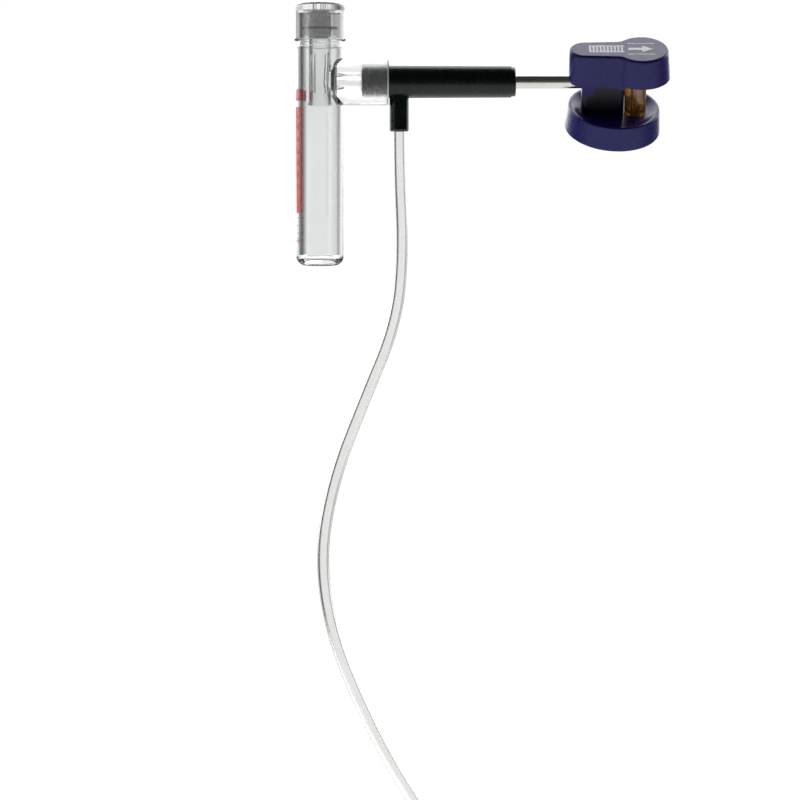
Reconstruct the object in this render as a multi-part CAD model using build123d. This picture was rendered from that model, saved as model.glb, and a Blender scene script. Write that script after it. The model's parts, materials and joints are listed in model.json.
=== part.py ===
from build123d import *
import math
import os

# Hand-operated suction pump: a piston pump that draws fluid through a hose and
# pushes it into a clear collection vessel. Millimetres, +Z up. The origin is on
# the vessel's axis, where its straight wall begins above the rounded base. The
# barrel, piston rod and handle lie along +X at the height of the side arm.

# ---- Clearances -----------------------------------------------------------------
RUNNING = 0.04          # shaft in a bushing, radial
SEAL_GAP = 0.03         # a relaxed seal against the face it slides on, radial
PLUG_GAP = 0.05         # a plug or a hose in its socket, radial
LOOSE = 0.3             # a part that only has to clear its neighbour
SEAT_GAP = 0.06         # a valve ball above the cone it rests on

# ---- Collection vessel ------------------------------------------------------------
VESSEL_HOLD_R = 12.0    # straight lower end, where a holder takes it
VESSEL_TAPER = 0.65     # how much wider the vessel is at its shoulder
VESSEL_HOLD_LENGTH = 20.0
VESSEL_WALL = 2.95      # at the straight lower end
VESSEL_BASE_ROUND = 4.6
VESSEL_FLOOR = 3.6
VESSEL_FLOOR_ROUND = 2.0
BASE_RECESS_R = 6.4
BASE_RECESS = 1.4       # hollow under the base
BASE_RECESS_ROUND = 0.8
AXIS_HEIGHT = 89.25     # barrel axis above the lower end of the straight wall
SHOULDER_ABOVE_AXIS = 17.85
SHOULDER_ROUND = 0.8
NECK_WALL = 2.1
NECK_HEIGHT = 17.0
NECK_CHAMFER = 0.5

# ---- Side arm ---------------------------------------------------------------------
ARM_R = 12.1
ARM_REACH = 34.5        # from the vessel's axis to the arm's rim
ARM_RIM_ROUND = 0.5
ARM_PASSAGE_R = 3.0
GASKET_THICKNESS = 0.6
GASKET_INSET = 0.3      # the gasket's edge inside the arm's rim

# ---- Cap --------------------------------------------------------------------------
CAP_WALL = 1.8
CAP_TOP = 4.0
CAP_ROUND = 2.6
CAP_SKIRT_GAP = 2.9     # between the skirt and the vessel's shoulder
CAP_HEADROOM = 1.0      # between the neck's rim and the inside of the cap
CAP_PLUG_WALL = 1.9
CAP_PLUG_DEPTH = 13.0
CAP_SEAL_HEIGHT = 4.0   # seal groove above the plug's lower end
CAP_SEAL_WIRE_R = 0.6
VENT_HOLE_R = 0.6
VENT_HOLES = 5
VENT_CIRCLE_R = 2.2

# ---- Exhaust tube under the cap -----------------------------------------------------
EXHAUST_R = 5.75
EXHAUST_WALL = 1.2
EXHAUST_BELOW_AXIS = 12.35
EXHAUST_LIP = 0.5
EXHAUST_LIP_HEIGHT = 1.6
EXHAUST_FLANGE = 1.5
EXHAUST_SLOTS = 4
EXHAUST_SLOT_WIDTH = 1.6
EXHAUST_SLOT_HEIGHT = 20.0
EXHAUST_SLOT_LIFT = 5.0  # slots start this far above the lip
FILTER_THICKNESS = 2.0
RETAINER_THICKNESS = 1.0
RETAINER_WIDTH = 1.2

# ---- Pump barrel ------------------------------------------------------------------
BARREL_R = 8.45
BARREL_END_R = 8.2      # at the gland, the barrel tapers
BARREL_BORE_R = 6.6
BARREL_HEAD = 2.5       # wall between the shoulder and the bore
BARREL_DEAD_SPACE = 5.5  # in front of the piston when the rod is pushed in
SPIGOT_R = 7.7
SPIGOT_LENGTH = 13.7
SPIGOT_ROUND = 1.2
SPIGOT_SEAL_SETBACK = 2.6
SPIGOT_SEAL_WIRE_R = 0.9
OUTLET_CHAMBER_R = 5.15
OUTLET_CHAMBER_DEPTH = 9.6
OUTLET_RELIEF_R = 3.6
OUTLET_RELIEF_DEPTH = 2.4
OUTLET_PASSAGE_R = 1.6

# ---- Outlet valve, in the spigot ----------------------------------------------------
OUTLET_SEAT_THICKNESS = 2.4
OUTLET_PORTS = 6
OUTLET_PORT_R = 0.55
OUTLET_PORT_CIRCLE_R = 2.4
UMBRELLA_R = 3.9
UMBRELLA_HEIGHT = 1.7
UMBRELLA_STEM_R = 0.9
UMBRELLA_BULB_R = 1.5
UMBRELLA_BULB_LENGTH = 1.6
OUTLET_RETAINER_LENGTH = 2.2
OUTLET_RETAINER_BORE_R = 4.3

# ---- Inlet port and valve -----------------------------------------------------------
PORT_R = 4.95
PORT_SETBACK = 5.3      # port axis behind the barrel's shoulder
PORT_DROP = 25.4        # port mouth below the barrel axis
PORT_CHAMFER = 0.7
HOSE_INSERTION = 6.15
INLET_SEAT_HEIGHT = 3.0
INLET_SEAT_HOLE_R = 1.3
INLET_SEAT_CONE_R = 2.6
INLET_BALL_R = 2.2
INLET_CHAMBER_R = 2.85
INLET_LIFT = 1.5        # travel of the ball
INLET_PASSAGE_R = 1.4
INLET_SLOT = 1.2        # cross slots that let fluid past the lifted ball

# ---- Gland at the barrel's open end -------------------------------------------------
GLAND_R = 7.6
GLAND_FLANGE = 2.2
GLAND_ROUND = 1.1
GLAND_PLUG = 6.2
GLAND_BUSH_WALL = 1.3
GLAND_BUSH_LENGTH = 3.6
ROD_SEAL_WIRE_R = 0.85
WIPER_LENGTH = 1.3
WIPER_WALL = 1.7

# ---- Piston and rod -----------------------------------------------------------------
ROD_R = 3.5
STROKE_IN = 26.0        # from rest, pushing in
STROKE_OUT = 16.0       # from rest, pulling out
HANDLE_STANDOFF = 1.0   # between the gland and the handle when the rod is pushed in
PISTON_LENGTH = 6.0
PISTON_CLEARANCE = 0.1
PISTON_SEAL_WIRE_R = 0.75
PISTON_SEAL_WIDTH = 1.6
PISTON_LAND = 0.8
PISTON_SCREW_R = 1.5
PISTON_SCREW_HEAD_R = 2.75
PISTON_SCREW_HEAD = 1.6
PISTON_SCREW_LENGTH = 15.0
ROD_IN_HANDLE = 16.7
ROD_END_CHAMFER = 0.5

# ---- Handle, in its own frame: rod axis is X, W is up --------------------------------
HANDLE_ROLL = 33.0      # degrees about the rod at rest
LOBE_SPACING = 28.9     # small lobe's centre to large lobe's centre
SMALL_LOBE_R = 8.0
LARGE_LOBE_TOP_R = 13.6
LARGE_LOBE_BOTTOM_R = 15.0
NECK_HALF_TOP = 8.7     # half-width where the neck meets the large lobe
NECK_HALF_BOTTOM = 9.3
NECK_FILLET = 5.0
HANDLE_TOP_W = 18.8
HANDLE_TONGUE_W = 0.9   # underside of the small lobe and the neck
HANDLE_LOBE_W = 3.2     # underside of the large lobe
HANDLE_EDGE_ROUND = 1.3
BOSS_WALL = 0.76        # under the bushing
BOSS_LENGTH = 6.2
BOSS_HALF = 6.2
DISC_SETBACK = 23.4     # disc axis behind the handle's front
DISC_TILT = 3.5         # degrees, far side down
DISC_TOP_R = 23.4
DISC_BOTTOM_R = 24.5
DISC_RIM_W = -14.4
DISC_FLOOR_W = -17.0
DISC_BOTTOM_W = -27.4
DISC_LIP = 1.7
DISC_EDGE_ROUND = 0.7
DISC_COVER = 1.8
DISC_COVER_MARGIN = 3.3
COLUMN_SETBACK = 6.6    # column's front face behind the handle's front
COLUMN_LENGTH = 21.6
COLUMN_DEPTH = 12.0
COLUMN_ROUND = 3.0
SPACER_R = 5.5
SPACER_SETBACK = 34.3   # spacer's axis behind the handle's front
SPACER_SEAT = 1.4       # how far the spacer is let into the disc
HANDLE_BUSH_WALL = 0.7
CLIP_WIDTH = 1.0
CLIP_R = 4.6
CLIP_GROOVE_R = 2.6
CLIP_CHAMBER_R = 5.0
CLIP_CHAMBER_LENGTH = 5.4
TIE_SCREW_R = 1.5
TIE_SCREW_HEAD_R = 2.7
TIE_SCREW_HEAD = 2.2
TIE_SCREW_SOCKET_R = 1.2
COLUMN_SCREW_SETBACK = 24.5
COLUMN_SCREW_SPACING = 7.2
INSERT_R = 2.3
INSERT_LENGTH = 8.0

# ---- Hose ---------------------------------------------------------------------------
HOSE_R = 3.0
HOSE_BORE_R = 2.0
HOSE_ROUTE = [          # from the inlet valve down to the connector
    (40.4, 0, 70),
    (40.4, 0, 45),
    (42.4, 0.6, 3),
    (38.9, 1.5, -34),
    (22.2, 2.5, -74),
    (7.4, 2.0, -112),
    (0.0, 0, -152),
    (5.6, -2.0, -192),
    (21.2, -3.0, -230),
    (37.6, -2.4, -262),
    (60.5, -0.6, -297),
    (76.0, 1.2, -333),
    (83.0, 2.0, -372),
    (83.0, 2.0, -406),
]
COLLAR_WALL = 1.2
COLLAR_LENGTH = 7.0
COLLAR_SETBACK = 2.0

# ---- Connector on the hose's far end --------------------------------------------------
CONNECTOR_BARB = 11.0
CONNECTOR_FLANGE_R = 5.5
CONNECTOR_FLANGE = 2.5
CONNECTOR_TIP_R = 3.4
CONNECTOR_TIP = 16.0
CONNECTOR_BORE_R = 1.1
CONNECTOR_RIBS = 6

# ---- Derived places ---------------------------------------------------------------------
VESSEL_R = VESSEL_HOLD_R + VESSEL_TAPER
VESSEL_BORE_R = VESSEL_HOLD_R - VESSEL_WALL
VESSEL_BOTTOM = -VESSEL_BASE_ROUND
SHOULDER_Z = AXIS_HEIGHT + SHOULDER_ABOVE_AXIS
NECK_R = VESSEL_BORE_R + NECK_WALL
NECK_TOP = SHOULDER_Z + NECK_HEIGHT

CAP_INSIDE_R = NECK_R + LOOSE
CAP_R = CAP_INSIDE_R + CAP_WALL
CAP_INSIDE_TOP = NECK_TOP + CAP_HEADROOM
CAP_PLUG_R = VESSEL_BORE_R - LOOSE
CAP_PLUG_BORE_R = CAP_PLUG_R - CAP_PLUG_WALL
CAP_PLUG_BOTTOM = CAP_INSIDE_TOP - CAP_PLUG_DEPTH

BARREL_X0 = ARM_REACH + GASKET_THICKNESS
BORE_X0 = BARREL_X0 + BARREL_HEAD
PISTON_X0 = BORE_X0 + BARREL_DEAD_SPACE + STROKE_IN
PISTON_X1 = PISTON_X0 + PISTON_LENGTH
GLAND_X0 = PISTON_X1 + STROKE_OUT + LOOSE
BARREL_X1 = GLAND_X0 + GLAND_PLUG
SPIGOT_X0 = BARREL_X0 - SPIGOT_LENGTH
SOCKET_R = SPIGOT_R + PLUG_GAP
SOCKET_X0 = SPIGOT_X0 - LOOSE
SPIGOT_SEAL_X = SPIGOT_X0 + SPIGOT_SEAL_SETBACK
OUTLET_SEAT_X1 = SPIGOT_X0 + OUTLET_CHAMBER_DEPTH
OUTLET_SEAT_X0 = OUTLET_SEAT_X1 - OUTLET_SEAT_THICKNESS

PORT_X = BARREL_X0 + PORT_SETBACK
PORT_MOUTH = AXIS_HEIGHT - PORT_DROP
PORT_BORE_R = HOSE_R + PLUG_GAP
INLET_SEAT_Z0 = PORT_MOUTH + HOSE_INSERTION
INLET_SEAT_Z1 = INLET_SEAT_Z0 + INLET_SEAT_HEIGHT
INLET_CONE_Z0 = INLET_SEAT_Z1 - (INLET_SEAT_CONE_R - INLET_SEAT_HOLE_R)
INLET_BALL_Z = INLET_CONE_Z0 - INLET_SEAT_HOLE_R + (INLET_BALL_R + SEAT_GAP) * math.sqrt(2)
INLET_CHAMBER_TOP = INLET_BALL_Z + INLET_BALL_R + INLET_LIFT + SEAT_GAP

GLAND_X1 = BARREL_X1 + GLAND_FLANGE
GLAND_BORE_R = ROD_R + LOOSE
ROD_SEAL_X = GLAND_X0 + GLAND_BUSH_LENGTH + 1.5

HANDLE_X0 = GLAND_X1 + STROKE_IN + HANDLE_STANDOFF
PISTON_R = BARREL_BORE_R - PISTON_CLEARANCE
ROD_X1 = HANDLE_X0 + ROD_IN_HANDLE

SMALL_LOBE_X = HANDLE_X0 + SMALL_LOBE_R
LARGE_LOBE_X = SMALL_LOBE_X + LOBE_SPACING
DISC_X = HANDLE_X0 + DISC_SETBACK
SPACER_X = HANDLE_X0 + SPACER_SETBACK
BOSS_W = -(ROD_R + RUNNING + HANDLE_BUSH_WALL + BOSS_WALL)  # underside of the boss round the rod
COLUMN_X0 = HANDLE_X0 + COLUMN_SETBACK
COLUMN_X1 = COLUMN_X0 + COLUMN_LENGTH
BOSS_X1 = COLUMN_X0 + BOSS_LENGTH
COLUMN_SCREW_X = HANDLE_X0 + COLUMN_SCREW_SETBACK
DISC_COVER_R = DISC_BOTTOM_R - DISC_COVER_MARGIN
DISC_RECESS_W = DISC_BOTTOM_W + DISC_COVER
SCREW_SHELF_W = DISC_RECESS_W + TIE_SCREW_HEAD + LOOSE
CLIP_X0 = BOSS_X1 + 0.6


# ---- Small helpers ------------------------------------------------------------------------
def bar_x(radius, x0, x1):
    """Round bar along X, on the barrel's axis."""
    middle = Pos((x0 + x1) / 2, 0, AXIS_HEIGHT) * Rot(0, 90, 0)
    return middle * Cylinder(radius, x1 - x0)


def cone_x(radius0, radius1, x0, x1):
    """Tapering round bar along X, on the barrel's axis."""
    middle = Pos((x0 + x1) / 2, 0, AXIS_HEIGHT) * Rot(0, 90, 0)
    return middle * Cone(radius0, radius1, x1 - x0)


def pipe_x(outer, inner, x0, x1):
    """Round pipe along X, on the barrel's axis."""
    return bar_x(outer, x0, x1) - bar_x(inner, x0 - 1, x1 + 1)


def ring_x(centre_r, wire_r, x):
    """Seal ring round the barrel's axis."""
    return Pos(x, 0, AXIS_HEIGHT) * Rot(0, 90, 0) * Torus(centre_r, wire_r)


def bar_z(radius, z0, z1, x=0.0, y=0.0):
    """Round bar along Z."""
    return Pos(x, y, (z0 + z1) / 2) * Cylinder(radius, z1 - z0)


def pipe_z(outer, inner, z0, z1, x=0.0, y=0.0):
    """Round pipe along Z."""
    return bar_z(outer, z0, z1, x, y) - bar_z(inner, z0 - 1, z1 + 1, x, y)


def block(x0, x1, y0, y1, z0, z1):
    """Rectangular block between two corners."""
    centre = Pos((x0 + x1) / 2, (y0 + y1) / 2, (z0 + z1) / 2)
    return centre * Box(x1 - x0, y1 - y0, z1 - z0)


def edges_at(shape, z, radius):
    """Circular edges of a given radius about Z at a given height."""
    found = ShapeList()
    for edge in shape.edges().filter_by(GeomType.CIRCLE):
        same_height = abs(edge.arc_center.Z - z) < 1e-4
        if same_height and abs(edge.radius - radius) < 1e-4:
            found.append(edge)
    return found


def on_handle(shape):
    """Moves a shape from the handle's own frame to its place on the rod."""
    return Pos(0, 0, AXIS_HEIGHT) * Rot(HANDLE_ROLL, 0, 0) * shape


# ---- Vessel and cap -------------------------------------------------------------------------
def vessel_body():
    """Clear tube with a floor, a neck for the cap and a side arm for the pump."""
    foot = bar_z(VESSEL_HOLD_R, VESSEL_BOTTOM, VESSEL_HOLD_LENGTH)
    foot = fillet(edges_at(foot, VESSEL_BOTTOM, VESSEL_HOLD_R), VESSEL_BASE_ROUND - 0.01)
    rise = SHOULDER_Z - VESSEL_HOLD_LENGTH
    wall = Pos(0, 0, VESSEL_HOLD_LENGTH + rise / 2) * Cone(VESSEL_HOLD_R, VESSEL_R, rise)
    wall = fillet(edges_at(wall, SHOULDER_Z, VESSEL_R), SHOULDER_ROUND)
    recess_top = VESSEL_BOTTOM + BASE_RECESS
    recess = bar_z(BASE_RECESS_R, VESSEL_BOTTOM - 1, recess_top)
    recess = fillet(edges_at(recess, recess_top, BASE_RECESS_R), BASE_RECESS_ROUND)
    neck = bar_z(NECK_R, SHOULDER_Z - 1, NECK_TOP)
    neck = chamfer(edges_at(neck, NECK_TOP, NECK_R), NECK_CHAMFER)
    arm = bar_x(ARM_R, 0, ARM_REACH)
    arm = fillet(arm.edges().sort_by(Axis.X)[-1], ARM_RIM_ROUND)
    bore = bar_z(VESSEL_BORE_R, VESSEL_BOTTOM + VESSEL_FLOOR, NECK_TOP + 1)
    bore = fillet(edges_at(bore, VESSEL_BOTTOM + VESSEL_FLOOR, VESSEL_BORE_R), VESSEL_FLOOR_ROUND)
    socket = bar_x(SOCKET_R, SOCKET_X0, ARM_REACH + 1)
    passage = bar_x(ARM_PASSAGE_R, 0, SOCKET_X0 + 1)
    return foot + wall + neck + arm - bore - socket - passage - recess


def cap_shell():
    """Push-on cap with a skirt over the neck and a plug inside it."""
    skirt_bottom = SHOULDER_Z + CAP_SKIRT_GAP
    top = CAP_INSIDE_TOP + CAP_TOP
    shell = bar_z(CAP_R, skirt_bottom, top)
    shell = fillet(edges_at(shell, top, CAP_R), CAP_ROUND)
    shell = fillet(edges_at(shell, skirt_bottom, CAP_R), SHOULDER_ROUND)
    shell -= bar_z(CAP_INSIDE_R, skirt_bottom - 1, CAP_INSIDE_TOP)
    plug = pipe_z(CAP_PLUG_R, CAP_PLUG_BORE_R, CAP_PLUG_BOTTOM, CAP_INSIDE_TOP + 1)
    groove_z = CAP_PLUG_BOTTOM + CAP_SEAL_HEIGHT
    groove_r = VESSEL_BORE_R - SEAL_GAP - 2 * CAP_SEAL_WIRE_R
    plug -= pipe_z(CAP_R, groove_r, groove_z - CAP_SEAL_WIRE_R, groove_z + CAP_SEAL_WIRE_R)
    shell += plug
    for spot in PolarLocations(VENT_CIRCLE_R, VENT_HOLES):
        shell -= spot * bar_z(VENT_HOLE_R, CAP_INSIDE_TOP - 1, top + 1)
    return shell


def cap_seal():
    """Seal ring in the cap's plug."""
    centre_r = VESSEL_BORE_R - SEAL_GAP - CAP_SEAL_WIRE_R
    return Pos(0, 0, CAP_PLUG_BOTTOM + CAP_SEAL_HEIGHT) * Torus(centre_r, CAP_SEAL_WIRE_R)


def exhaust_tube():
    """Slotted tube that hangs from the cap and keeps splashes off the vent."""
    bottom = AXIS_HEIGHT - EXHAUST_BELOW_AXIS
    bore_r = EXHAUST_R - EXHAUST_WALL
    tube = bar_z(EXHAUST_R, bottom, CAP_INSIDE_TOP)
    tube += bar_z(EXHAUST_R + EXHAUST_LIP, bottom, bottom + EXHAUST_LIP_HEIGHT)
    flange_r = CAP_PLUG_BORE_R - PLUG_GAP
    tube += bar_z(flange_r, CAP_INSIDE_TOP - EXHAUST_FLANGE, CAP_INSIDE_TOP)
    tube -= bar_z(bore_r, bottom - 1, CAP_INSIDE_TOP + 1)
    slot_z = bottom + EXHAUST_LIP_HEIGHT + EXHAUST_SLOT_LIFT
    half = EXHAUST_SLOT_WIDTH / 2
    slot = block(0, EXHAUST_R + 1, -half, half, slot_z, slot_z + EXHAUST_SLOT_HEIGHT)
    for turn in range(EXHAUST_SLOTS):
        tube -= Rot(0, 0, 45 + turn * 360 / EXHAUST_SLOTS) * slot
    return tube


def vent_filter():
    """Porous disc at the top of the exhaust tube."""
    radius = EXHAUST_R - EXHAUST_WALL - PLUG_GAP
    return bar_z(radius, CAP_INSIDE_TOP - FILTER_THICKNESS, CAP_INSIDE_TOP)


def filter_retainer():
    """Ring that holds the filter up against the cap."""
    radius = EXHAUST_R - EXHAUST_WALL
    top = CAP_INSIDE_TOP - FILTER_THICKNESS
    return pipe_z(radius, radius - RETAINER_WIDTH, top - RETAINER_THICKNESS, top)


# ---- Joint between the arm and the barrel ----------------------------------------------------
def arm_gasket():
    """Flat ring between the arm's rim and the barrel's shoulder."""
    return pipe_x(ARM_R - GASKET_INSET, SOCKET_R, ARM_REACH, BARREL_X0)


def spigot_seal():
    """Seal ring between the spigot and the arm's socket."""
    return ring_x(SOCKET_R - SEAL_GAP - SPIGOT_SEAL_WIRE_R, SPIGOT_SEAL_WIRE_R, SPIGOT_SEAL_X)


# ---- Barrel, with its spigot and inlet port ---------------------------------------------------
def pump_barrel():
    """Barrel moulded in one piece with the spigot in front and the port below."""
    spigot = bar_x(SPIGOT_R, SPIGOT_X0, BARREL_X0 + 1)
    spigot = fillet(spigot.edges().sort_by(Axis.X)[0], SPIGOT_ROUND)
    groove_r = SOCKET_R - SEAL_GAP - 2 * SPIGOT_SEAL_WIRE_R
    seal_x0 = SPIGOT_SEAL_X - SPIGOT_SEAL_WIRE_R
    spigot -= pipe_x(SPIGOT_R + 1, groove_r, seal_x0, seal_x0 + 2 * SPIGOT_SEAL_WIRE_R)
    port = bar_z(PORT_R, PORT_MOUTH, AXIS_HEIGHT, PORT_X)
    port = chamfer(edges_at(port, PORT_MOUTH, PORT_R), PORT_CHAMFER)
    barrel = cone_x(BARREL_R, BARREL_END_R, BARREL_X0, BARREL_X1) + spigot + port
    barrel -= bar_x(BARREL_BORE_R, BORE_X0, BARREL_X1 + 1)
    barrel -= bar_x(OUTLET_CHAMBER_R, SPIGOT_X0 - 1, OUTLET_SEAT_X1)
    barrel -= bar_x(OUTLET_RELIEF_R, OUTLET_SEAT_X1 - 1, OUTLET_SEAT_X1 + OUTLET_RELIEF_DEPTH)
    barrel -= bar_x(OUTLET_PASSAGE_R, OUTLET_SEAT_X1, BORE_X0 + 1)
    barrel -= bar_z(PORT_BORE_R, PORT_MOUTH - 1, INLET_SEAT_Z1, PORT_X)
    barrel -= bar_z(INLET_CHAMBER_R, INLET_SEAT_Z1 - 1, INLET_CHAMBER_TOP, PORT_X)
    barrel -= bar_z(INLET_PASSAGE_R, INLET_CHAMBER_TOP - 1, AXIS_HEIGHT, PORT_X)
    reach = INLET_CHAMBER_R - 0.3
    half = INLET_SLOT / 2
    slot = block(-reach, reach, -half, half, INLET_CHAMBER_TOP - 1, INLET_CHAMBER_TOP + INLET_SLOT)
    for turn in (0, 90):
        barrel -= Pos(PORT_X, 0, 0) * Rot(0, 0, turn) * slot
    return barrel


def outlet_seat():
    """Perforated disc that the umbrella valve closes."""
    seat = bar_x(OUTLET_CHAMBER_R, OUTLET_SEAT_X0, OUTLET_SEAT_X1)
    seat -= bar_x(UMBRELLA_STEM_R, OUTLET_SEAT_X0 - 1, OUTLET_SEAT_X1 + 1)
    for index in range(OUTLET_PORTS):
        angle = 2 * math.pi * index / OUTLET_PORTS
        offset = Pos(0, OUTLET_PORT_CIRCLE_R * math.cos(angle), OUTLET_PORT_CIRCLE_R * math.sin(angle))
        seat -= offset * bar_x(OUTLET_PORT_R, OUTLET_SEAT_X0 - 1, OUTLET_SEAT_X1 + 1)
    return seat


def outlet_umbrella():
    """Soft umbrella valve: a dome, a stem and the bulb that holds it in the seat."""
    dome = bar_x(UMBRELLA_R, OUTLET_SEAT_X0 - UMBRELLA_HEIGHT, OUTLET_SEAT_X0)
    dome = fillet(dome.edges().sort_by(Axis.X)[0], UMBRELLA_HEIGHT * 0.8)
    stem = bar_x(UMBRELLA_STEM_R, OUTLET_SEAT_X0 - 0.5, OUTLET_SEAT_X1 + 0.5)
    bulb = bar_x(UMBRELLA_BULB_R, OUTLET_SEAT_X1, OUTLET_SEAT_X1 + UMBRELLA_BULB_LENGTH)
    bulb = chamfer(bulb.edges().sort_by(Axis.X)[-1], UMBRELLA_BULB_R * 0.4)
    return dome + stem + bulb


def outlet_retainer():
    """Ring pressed in front of the seat."""
    return pipe_x(
        OUTLET_CHAMBER_R, OUTLET_RETAINER_BORE_R, OUTLET_SEAT_X0 - OUTLET_RETAINER_LENGTH, OUTLET_SEAT_X0
    )


def inlet_seat():
    """Valve seat pressed into the port, with a 45 degree cone for the ball."""
    seat = bar_z(PORT_BORE_R, INLET_SEAT_Z0, INLET_SEAT_Z1, PORT_X)
    seat -= bar_z(INLET_SEAT_HOLE_R, INLET_SEAT_Z0 - 1, INLET_SEAT_Z1 + 1, PORT_X)
    rise = INLET_SEAT_Z1 - INLET_CONE_Z0
    cone = Cone(INLET_SEAT_HOLE_R, INLET_SEAT_CONE_R, rise)
    return seat - Pos(PORT_X, 0, INLET_CONE_Z0 + rise / 2) * cone


def inlet_ball():
    """Steel ball that closes the inlet by its own weight."""
    return Pos(PORT_X, 0, INLET_BALL_Z) * Sphere(INLET_BALL_R)


# ---- Gland ---------------------------------------------------------------------------------------
def gland_cap():
    """End cap that closes the barrel and guides the rod."""
    flange = bar_x(GLAND_R, BARREL_X1, GLAND_X1)
    flange = fillet(flange.edges().sort_by(Axis.X)[-1], GLAND_ROUND)
    gland = flange + bar_x(BARREL_BORE_R, GLAND_X0, BARREL_X1 + 1)
    gland -= bar_x(GLAND_BORE_R, GLAND_X0 - 1, GLAND_X1 + 1)
    gland -= bar_x(ROD_R + RUNNING + GLAND_BUSH_WALL, GLAND_X0 - 1, GLAND_X0 + GLAND_BUSH_LENGTH)
    groove_r = ROD_R + SEAL_GAP + 2 * ROD_SEAL_WIRE_R
    gland -= bar_x(groove_r, ROD_SEAL_X - ROD_SEAL_WIRE_R, ROD_SEAL_X + ROD_SEAL_WIRE_R)
    return gland - bar_x(ROD_R + SEAL_GAP + WIPER_WALL, GLAND_X1 - WIPER_LENGTH, GLAND_X1 + 1)


def rod_bushing():
    """Plain bushing that carries the rod in the gland."""
    bore = ROD_R + RUNNING
    return pipe_x(bore + GLAND_BUSH_WALL, bore, GLAND_X0, GLAND_X0 + GLAND_BUSH_LENGTH)


def rod_seal():
    """Seal ring round the rod."""
    return ring_x(ROD_R + SEAL_GAP + ROD_SEAL_WIRE_R, ROD_SEAL_WIRE_R, ROD_SEAL_X)


def rod_wiper():
    """Wiper ring in the gland's mouth."""
    bore = ROD_R + SEAL_GAP
    return pipe_x(bore + WIPER_WALL, bore, GLAND_X1 - WIPER_LENGTH, GLAND_X1)


# ---- Piston and rod ---------------------------------------------------------------------------------
def piston_seal_places():
    """Centres of the two seal grooves along the piston."""
    step = PISTON_LAND + PISTON_SEAL_WIDTH / 2
    return (PISTON_X0 + step, PISTON_X1 - step)


def piston_head():
    """Piston with two seal grooves, clamped on the rod by a screw."""
    head = pipe_x(PISTON_R, PISTON_SCREW_R, PISTON_X0, PISTON_X1)
    groove_r = BARREL_BORE_R - SEAL_GAP - 2 * PISTON_SEAL_WIRE_R
    half = PISTON_SEAL_WIDTH / 2
    for x in piston_seal_places():
        head -= pipe_x(BARREL_BORE_R, groove_r, x - half, x + half)
    return head


def piston_seals():
    """The piston's two seal rings."""
    centre_r = BARREL_BORE_R - SEAL_GAP - PISTON_SEAL_WIRE_R
    return [ring_x(centre_r, PISTON_SEAL_WIRE_R, x) for x in piston_seal_places()]


def piston_screw():
    """Screw through the piston into the rod."""
    head = bar_x(PISTON_SCREW_HEAD_R, PISTON_X0 - PISTON_SCREW_HEAD, PISTON_X0)
    head = fillet(head.edges().sort_by(Axis.X)[0], PISTON_SCREW_HEAD * 0.5)
    shank = bar_x(PISTON_SCREW_R, PISTON_X0 - 0.5, PISTON_X0 + PISTON_SCREW_LENGTH)
    slot = Pos(PISTON_X0 - PISTON_SCREW_HEAD, 0, AXIS_HEIGHT) * Box(1.4, 2 * PISTON_SCREW_HEAD_R, 0.8)
    return head + shank - slot


def piston_rod():
    """Polished rod from the piston to the swivel in the handle."""
    rod = bar_x(ROD_R, PISTON_X1, ROD_X1)
    rod = chamfer(rod.edges().sort_by(Axis.X)[-1], ROD_END_CHAMFER)
    rod -= pipe_x(ROD_R + 1, CLIP_GROOVE_R, CLIP_X0, CLIP_X0 + CLIP_WIDTH)
    return rod - bar_x(PISTON_SCREW_R, PISTON_X1 - 1, PISTON_X0 + PISTON_SCREW_LENGTH + 1)


# ---- Handle ---------------------------------------------------------------------------------------------
def handle_bar_x(radius, x0, x1):
    """Round bar along the rod's axis, in the handle's own frame."""
    return Pos((x0 + x1) / 2, 0, 0) * Rot(0, 90, 0) * Cylinder(radius, x1 - x0)


def pear(small_r, large_r, neck_half):
    """Outline of a small lobe and a large lobe joined by a widening neck."""
    reach = math.sqrt(large_r**2 - neck_half**2)
    meet_x = LARGE_LOBE_X - reach
    slope = (neck_half - small_r) / (meet_x - SMALL_LOBE_X)
    far_half = small_r + slope * (LARGE_LOBE_X - SMALL_LOBE_X)
    neck = Polyline(
        (SMALL_LOBE_X, small_r),
        (LARGE_LOBE_X, far_half),
        (LARGE_LOBE_X, -far_half),
        (SMALL_LOBE_X, -small_r),
        close=True,
    )
    outline = Pos(SMALL_LOBE_X, 0) * Circle(small_r)
    outline += Pos(LARGE_LOBE_X, 0) * Circle(large_r)
    outline += make_face(neck)
    waist = outline.vertices().filter_by(lambda v: SMALL_LOBE_X + small_r < v.X < LARGE_LOBE_X)
    return fillet(waist, NECK_FILLET)


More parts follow.
